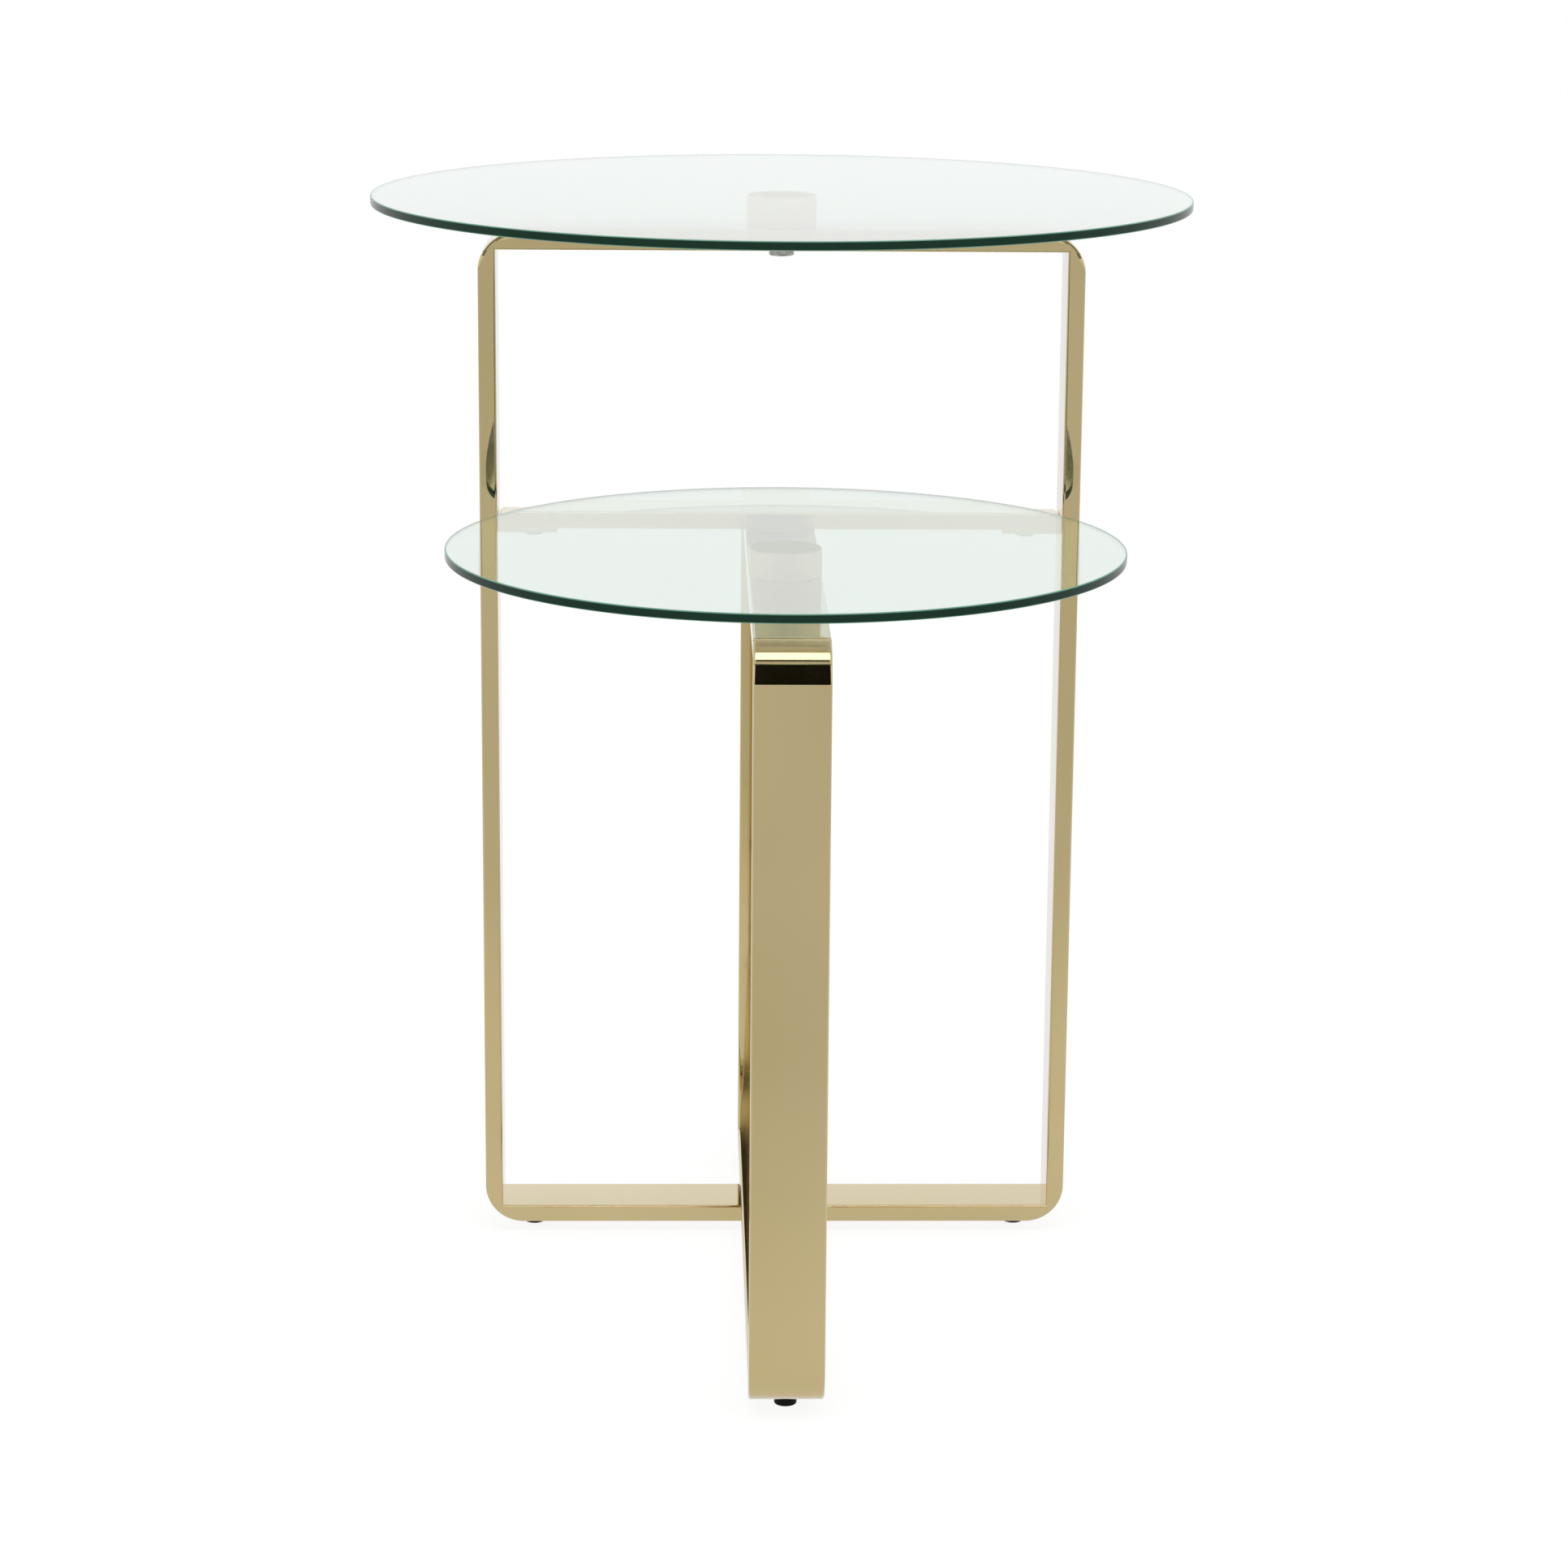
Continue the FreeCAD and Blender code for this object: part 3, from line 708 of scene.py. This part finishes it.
class SetGlass(bpy.types.Operator):
    """Grind the two glass tops"""

    bl_idname = "side_table.set_glass"
    bl_label = "Set Glass"

    def execute(self, context):
        scene = context.scene
        sizes = scene.side_table_sizes
        for level in ("upper", "lower"):
            top = disc(f"{level}_glass", sizes.glass_arris, sizes.eased_steps, sizes.glass_steps)
            for face in top.faces:
                face.material_index = 0 if faces_along(face, 2) else 1
            piece = hand_over(top, f"{level}_top", f"{level}_glass", scene, ("clear_glass", "glass_rim"))
            piece.visible_shadow = False
        return {"FINISHED"}


class TurnBosses(bpy.types.Operator):
    """Turn the bosses, with the film that bonds the glass and the bolts from below"""

    bl_idname = "side_table.turn_bosses"
    bl_label = "Turn Bosses"

    def execute(self, context):
        scene = context.scene
        sizes = scene.side_table_sizes
        for level in ("upper", "lower"):
            boss = disc(f"{level}_boss", sizes.eased_edge, sizes.eased_steps, sizes.turned_steps)
            hand_over(boss, f"{level}_post", f"{level}_boss", scene, ("turned_gold",))
            film = disc(f"{level}_bond", sizes.film_edge, sizes.film_steps, sizes.turned_steps)
            wetted = [vert for vert in film.verts if vert.co.z > node_middle(f"{level}_bond").z]
            bmesh.ops.translate(film, vec=UP * sizes.film_bite, verts=wetted)
            hand_over(film, f"{level}_film", f"{level}_bond", scene)
            bolt = socket_screw(f"{level}_boss_bolt", steps=sizes.turned_steps, **BOSS_BOLT)
            hand_over(bolt, f"{level}_bolt", f"{level}_boss_bolt", scene)
        return {"FINISHED"}


class PressFeet(bpy.types.Operator):
    """Mould the four pads under the loops"""

    bl_idname = "side_table.press_feet"
    bl_label = "Press Feet"

    def execute(self, context):
        scene = context.scene
        sizes = scene.side_table_sizes
        for side in ("left", "right", "front", "rear"):
            pad = disc(f"{side}_foot", sizes.pad_edge, sizes.eased_steps, sizes.turned_steps)
            hand_over(pad, f"{side}_pad", f"{side}_foot", scene)
        return {"FINISHED"}


# Black flags that give the polished bar its dark lines: the mirrors after which each shows, its left and
# right edges, its distance along the room, and its lower and upper edges.
FLAGS = (
    ("leg_fold_flag", 1, -0.03, 0.03, -0.2695, 0.3952, 0.4189),
    ("header_flag", 1, -0.4, 0.4, -1.9, 3.10, 3.84),
    ("low_room_flag", 2, -8.0, 8.0, -4.7, 1.10, 1.265),
    ("middle_room_flag", 2, -8.0, 8.0, -4.7, 1.525, 1.585),
    ("high_room_flag", 2, -8.0, 8.0, -4.7, 1.645, 7.0),
)
# Curved flags round the tall loop's upper folds: how far in front they stand, how far outside the bar their
# near and far edges lie, and how far round the fold they turn.
FOLD_FLAG = {"forward": 0.008, "clear": 0.0015, "reach": 0.0139, "turn": math.radians(68)}
FOLD_FLAG_STEPS = 16
FLAG_CLOTH = (0.03, 0.03, 0.03, 1.0)
# How bright the floor is where the camera sees it, and in mirrors in front of the table and further back.
FLOOR_SHOWN = 1.05
FLOOR_IN_FRONT = 0.70
FLOOR_FURTHER_BACK = 0.89
# Stretch of the floor over which it passes from one to the other in mirrors.
FLOOR_PASSES = (-0.9, -0.3)
FLOOR_MATT = (0.9, 0.9, 0.9, 1.0)
# Share of the floor's look that is even white. The rest keeps the shadow.
FLOOR_WHITE_SHARE = 0.85
# How much duller the ceiling is in mirrors, and between which upright parts of a direction it sets in.
CEILING_LOSS = 0.4
CEILING_FROM = (0.5, 0.95)


def seen_by(finish, kind):
    """Is 1 for one kind of ray, such as Camera or Glossy."""
    return finish.node("ShaderNodeLightPath", output=f"Is {kind} Ray")


def shown_background(finish):
    """Is 1 for what the camera sees straight, mirrored or through glass."""
    straight, mirrored, through = (
        seen_by(finish, kind) for kind in ("Camera", "Glossy", "Transmission"))
    return straight.highest(mirrored).highest(through)


def flag_finish(mirrors):
    """Black cloth that shows only after a number of mirrors, and never straight or through glass."""
    finish = new_finish(f"flag_after_{mirrors}")
    shown = finish.node("ShaderNodeLightPath", output="Glossy Depth").equals(mirrors)
    clear = finish.node("ShaderNodeBsdfTransparent")
    black = finish.node("ShaderNodeBsdfDiffuse", inputs={"Color": FLAG_CLOTH})
    mixed = finish.node("ShaderNodeMixShader", inputs={0: shown, 1: clear, 2: black})
    finish.node("ShaderNodeOutputMaterial", inputs={"Surface": mixed})
    return finish.owner


def light_world(world, ambient):
    """An even pale surround that shows as white, with a duller ceiling in mirrors."""
    finish = Finish(world)
    direction = finish.node("ShaderNodeTexCoord", output="Generated")
    ceiling = seen_by(finish, "Glossy") * finish.band(direction.part("Z"), *CEILING_FROM)
    strength = ambient + (1.0 - ambient) * shown_background(finish) - CEILING_LOSS * ceiling
    light = finish.node("ShaderNodeBackground", inputs={"Color": WHITE, "Strength": strength})
    finish.node("ShaderNodeOutputWorld", inputs={"Surface": light})


def floor_finish():
    """A pale floor that shows as white, keeps a soft shadow and is duller in mirrors, most in front."""
    finish = new_finish("pale_floor")
    back = finish.band(finish.place().part("Y"), *FLOOR_PASSES)
    in_mirrors = FLOOR_IN_FRONT + (FLOOR_FURTHER_BACK - FLOOR_IN_FRONT) * back
    strength = FLOOR_SHOWN - seen_by(finish, "Glossy") * (FLOOR_SHOWN - in_mirrors)
    matt = finish.node("ShaderNodeBsdfDiffuse", inputs={"Color": FLOOR_MATT})
    white = finish.node("ShaderNodeEmission", inputs={"Color": WHITE, "Strength": strength})
    share = FLOOR_WHITE_SHARE * shown_background(finish)
    mixed = finish.node("ShaderNodeMixShader", inputs={0: share, 1: matt, 2: white})
    finish.node("ShaderNodeOutputMaterial", inputs={"Surface": mixed})
    return finish.owner


def set_up(bm, name, scene, material):
    """Adds a flat stage piece to the scene."""
    mesh = bpy.data.meshes.new(name)
    bm.to_mesh(mesh)
    bm.free()
    mesh.materials.append(material)
    made = bpy.data.objects.new(name, mesh)
    scene.collection.objects.link(made)
    return made


def card(width, height, matrix):
    """Makes a flat oblong card."""
    bm = bmesh.new()
    bmesh.ops.create_grid(bm, x_segments=1, y_segments=1, size=0.5)
    bmesh.ops.scale(bm, vec=(width, height, 1.0), verts=bm.verts)
    bmesh.ops.transform(bm, matrix=matrix, verts=bm.verts)
    return bm


def curved_card(side, sizes):
    """Makes a card that follows an upper fold of the tall loop, just clear of its edge."""
    low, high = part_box("tall_frame")
    radius = fold_radius(sizes)
    middle = Vector((side * (high.x - radius), low.y - FOLD_FLAG["forward"], high.z - radius))
    bm = bmesh.new()
    near, far = (
        bmesh.ops.create_vert(bm, co=middle + (radius + FOLD_FLAG[edge]) * UP)["vert"][0]
        for edge in ("clear", "reach"))
    start = bm.edges.new((near, far))
    bmesh.ops.spin(
        bm, geom=[near, far, start], cent=middle, axis=(0.0, 1.0, 0.0), angle=side * FOLD_FLAG["turn"],
        steps=FOLD_FLAG_STEPS, use_merge=False)
    return bm


def hang_flags(scene):
    """Hangs the curved and the flat flags, which show in mirrors and nowhere else."""
    cloth = {mirrors: flag_finish(mirrors) for mirrors in (1, 2)}
    flags = [
        set_up(curved_card(side, scene.side_table_sizes), name, scene, cloth[1])
        for name, side in (("left_fold_flag", -1), ("right_fold_flag", 1))]
    for name, mirrors, left, right, y, foot, head in FLAGS:
        middle = Matrix.Translation(((left + right) / 2, y, (foot + head) / 2))
        stand = middle @ Matrix.Rotation(math.pi / 2, 4, "X")
        flags.append(set_up(card(right - left, head - foot, stand), name, scene, cloth[mirrors]))
    for flag in flags:
        flag.visible_camera = flag.visible_diffuse = flag.visible_shadow = False


def hang_softbox(scene, studio):
    """Hangs the soft lamp over the front of the table."""
    lamp = bpy.data.lights.new("softbox", "AREA")
    lamp.shape = "RECTANGLE"
    lamp.size, lamp.size_y = studio.softbox_size
    lamp.energy = studio.softbox_power
    softbox = bpy.data.objects.new("softbox", lamp)
    softbox.location = studio.softbox_place
    softbox.rotation_euler = (studio.softbox_tilt, 0.0, 0.0)
    scene.collection.objects.link(softbox)


def aim_camera(scene, studio):
    """Sets the camera where the photograph was taken from."""
    eye = bpy.data.cameras.new("photo_view")
    eye.sensor_width = studio.sensor
    eye.lens = studio.lens
    camera = bpy.data.objects.new("photo_view", eye)
    camera.matrix_world = (
        Matrix.Translation(studio.camera_place)
        @ Matrix.Rotation(-studio.yaw, 4, "Z")
        @ Matrix.Rotation(math.pi / 2 - studio.pitch, 4, "X")
        @ Matrix.Rotation(studio.roll, 4, "Z"))
    scene.collection.objects.link(camera)
    scene.camera = camera


class SetStage(bpy.types.Operator):
    """Set the pale floor, the flags, the soft light and the camera"""

    bl_idname = "side_table.set_stage"
    bl_label = "Set Stage"

    def execute(self, context):
        scene = context.scene
        studio = scene.side_table_studio
        floor = card(studio.floor_size, studio.floor_size, Matrix.Identity(4))
        set_up(floor, "floor", scene, floor_finish())
        hang_flags(scene)
        scene.world = bpy.data.worlds.new("pale_surround")
        light_world(scene.world, studio.ambient)
        hang_softbox(scene, studio)
        aim_camera(scene, studio)
        scene.view_settings.view_transform = "Standard"
        return {"FINISHED"}


class SideTablePanel(bpy.types.Panel):
    """Lists the steps that build the table"""

    bl_idname = "VIEW3D_PT_side_table"
    bl_label = "Tiered Side Table"
    bl_space_type = "VIEW_3D"
    bl_region_type = "UI"
    bl_category = "Side Table"

    def draw(self, context):
        scene = context.scene
        for settings in (scene.side_table_sizes, scene.side_table_colours, scene.side_table_studio):
            for name in settings.__annotations__:
                self.layout.prop(settings, name)
        for step in STEPS:
            self.layout.operator(step.bl_idname)


STEPS = (FoldLoops, FitRail, SetGlass, TurnBosses, PressFeet, SetStage)
CLASSES = (TableSizes, TableColours, StudioSettings, *STEPS, SideTablePanel)


def register():
    for one in CLASSES:
        bpy.utils.register_class(one)
    bpy.types.Scene.side_table_sizes = PointerProperty(type=TableSizes)
    bpy.types.Scene.side_table_colours = PointerProperty(type=TableColours)
    bpy.types.Scene.side_table_studio = PointerProperty(type=StudioSettings)


def unregister():
    del bpy.types.Scene.side_table_studio
    del bpy.types.Scene.side_table_colours
    del bpy.types.Scene.side_table_sizes
    for one in reversed(CLASSES):
        bpy.utils.unregister_class(one)


def main():
    register()
    bpy.ops.side_table.fold_loops()
    bpy.ops.side_table.fit_rail()
    bpy.ops.side_table.set_glass()
    bpy.ops.side_table.turn_bosses()
    bpy.ops.side_table.press_feet()
    bpy.ops.side_table.set_stage()


if __name__ == "__main__":
    main()
